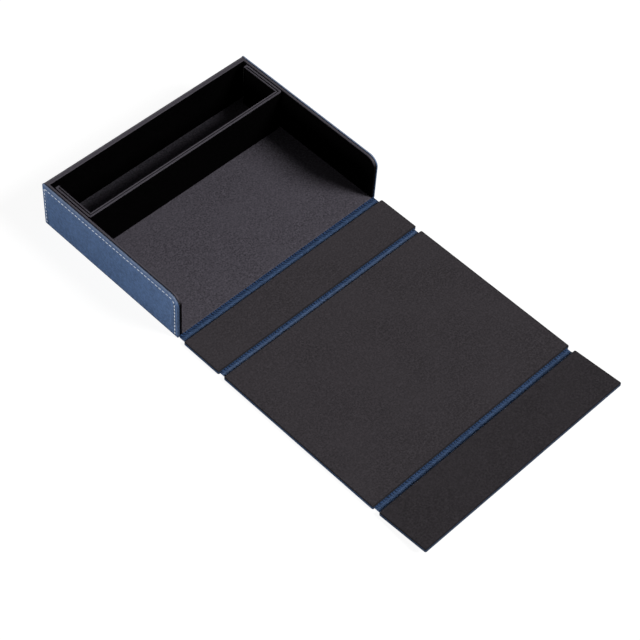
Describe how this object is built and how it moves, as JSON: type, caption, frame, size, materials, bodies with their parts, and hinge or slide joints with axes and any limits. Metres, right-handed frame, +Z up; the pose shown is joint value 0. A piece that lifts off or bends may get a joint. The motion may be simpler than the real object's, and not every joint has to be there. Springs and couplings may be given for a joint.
{
  "type": "dice storage chest",
  "caption": "Open-fronted tray box of wrapped board whose leatherette cover folds over it as a front, a lid and a magnetic flap, with a loose divider for a dice compartment.",
  "frame": {"origin": "middle of the tray box's underside, on the surface that it stands on", "axes": "+X along the back wall to the right as seen from the open front, +Y from the front panels towards the back wall, +Z up"},
  "size_m": [0.205, 0.3972, 0.0436],
  "materials": {
    "leatherette": "satin",
    "hinge_tape": "satin",
    "microfibre": "matte",
    "wall_microfibre": "matte",
    "greyboard": "matte",
    "steel": "satin"
  },
  "bodies": {
    "tray_box": {"base_cover": "leatherette", "base_board": "greyboard", "floor_lining": "microfibre", "left_wall_board": "greyboard", "right_wall_board": "greyboard", "back_wall_board": "greyboard", "left_wall_lining": "wall_microfibre", "right_wall_lining": "wall_microfibre", "back_wall_lining": "wall_microfibre", "left_side_card": "greyboard", "right_side_card": "greyboard", "left_side_cover": "leatherette", "right_side_cover": "leatherette", "back_outer_board": "greyboard", "back_outer_lining": "microfibre", "closing_discs": "steel", "front_hinge_cover": "leatherette", "front_hinge_tape": "hinge_tape"},
    "front_panel": {"front_cover": "leatherette", "front_board": "greyboard", "front_lining": "microfibre", "lid_hinge_cover": "leatherette", "lid_hinge_tape": "hinge_tape"},
    "lid_panel": {"lid_cover": "leatherette", "lid_board": "greyboard", "lid_lining": "microfibre", "flap_hinge_cover": "leatherette", "flap_hinge_tape": "hinge_tape"},
    "flap": {"flap_cover": "leatherette", "flap_board": "greyboard", "flap_lining": "microfibre", "flap_magnets": "steel"},
    "divider": {"divider_wrap": "wall_microfibre", "divider_front_board": "greyboard", "divider_left_wing": "greyboard", "divider_right_wing": "greyboard", "divider_left_lip": "greyboard", "divider_right_lip": "greyboard", "divider_front_liner": "wall_microfibre", "divider_left_liner": "wall_microfibre", "divider_right_liner": "wall_microfibre"}
  },
  "joints": [
    {"name": "front_fold", "type": "hinge", "parent": "tray_box", "child": "front_panel", "pos_m": [0, -0.07725, 0.0017], "axis": [-1, 0, 0], "range_deg": [0, 90], "deforming": ["front_hinge_cover", "front_hinge_tape"]},
    {"name": "lid_fold", "type": "hinge", "parent": "front_panel", "child": "lid_panel", "pos_m": [0, -0.1212, 0.00145], "axis": [-1, 0, 0], "range_deg": [0, 90], "deforming": ["lid_hinge_cover", "lid_hinge_tape"]},
    {"name": "flap_fold", "type": "hinge", "parent": "lid_panel", "child": "flap", "pos_m": [0, -0.27635, 0.0009], "axis": [-1, 0, 0], "range_deg": [-4.5, 85.5], "deforming": ["flap_hinge_cover", "flap_hinge_tape"]},
    {"name": "divider_lift", "type": "slide", "parent": "tray_box", "child": "divider", "axis": [0, 0, 1], "range_m": [0, 0.06]}
  ]
}
